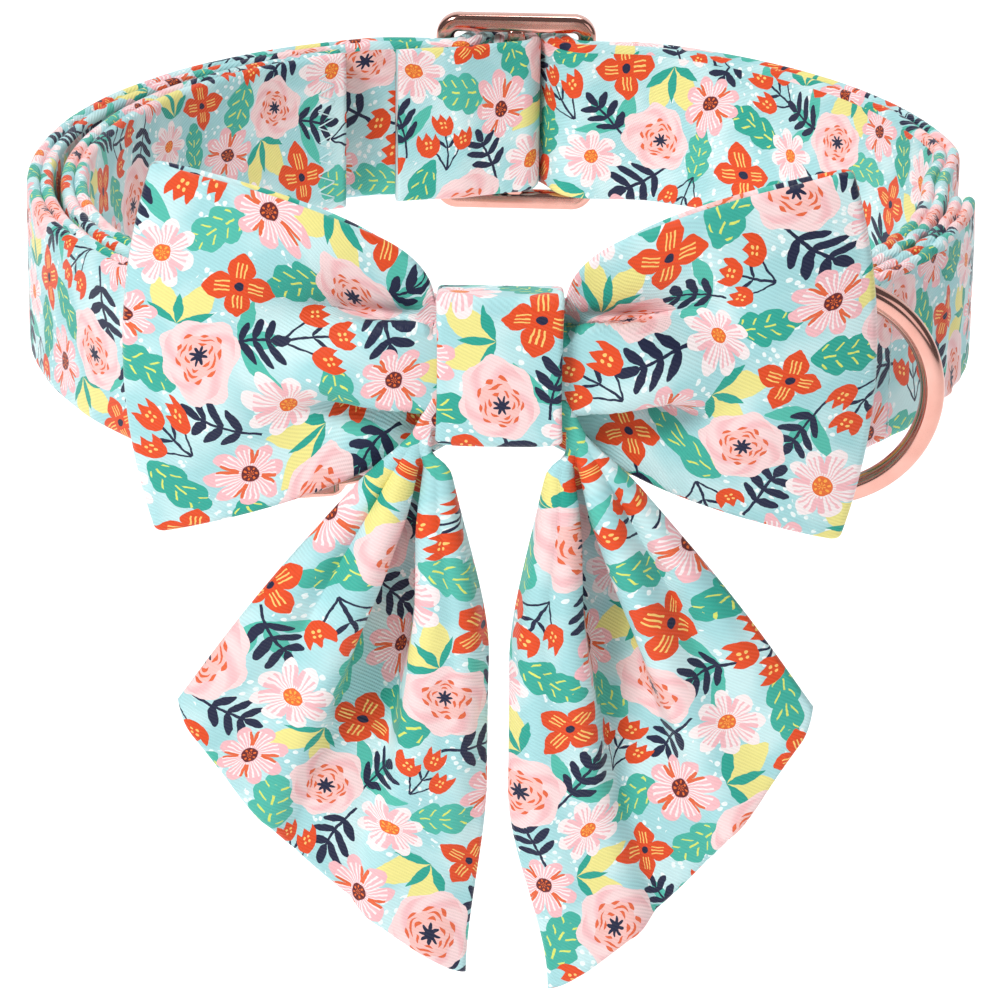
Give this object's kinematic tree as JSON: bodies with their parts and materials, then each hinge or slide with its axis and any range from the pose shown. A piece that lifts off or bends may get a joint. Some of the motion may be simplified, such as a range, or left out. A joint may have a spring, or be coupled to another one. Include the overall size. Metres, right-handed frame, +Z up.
{
  "type": "pet bow tie collar",
  "caption": "Fabric pet collar: a doubled floral strap on a metal slide and closed buckle, with a D-ring for a lead and a hollow two-wing bow with a square knot and long gathered tails.",
  "frame": {"origin": "the middle of the neck opening, half way up the strap", "axes": "+Z up along the neck, -Y to the front where the bow is, +X to the D-ring's side"},
  "size_m": [0.1357, 0.1594, 0.117],
  "materials": {
    "printed_cloth": "ribbed cotton with a soft sheen, floral print on pale aqua",
    "rose_gold": "polished rose gold plating",
    "elastic": "plain woven elastic"
  },
  "bodies": {
    "collar": {"strap": "printed_cloth", "slider_tab": "printed_cloth", "slider": "rose_gold", "buckle": "rose_gold", "elastic_loop": "elastic", "bow_loop": "printed_cloth", "knot_band": "printed_cloth", "tail_left": "printed_cloth", "tail_right": "printed_cloth"},
    "ring": {"d_ring": "rose_gold"}
  },
  "joints": [
    {"name": "ring_swing", "type": "hinge", "parent": "collar", "child": "ring", "pos_m": [0.03843, -0.05388, -0.0005], "axis": [0, 0, 1], "range_deg": [-40, 14]}
  ]
}
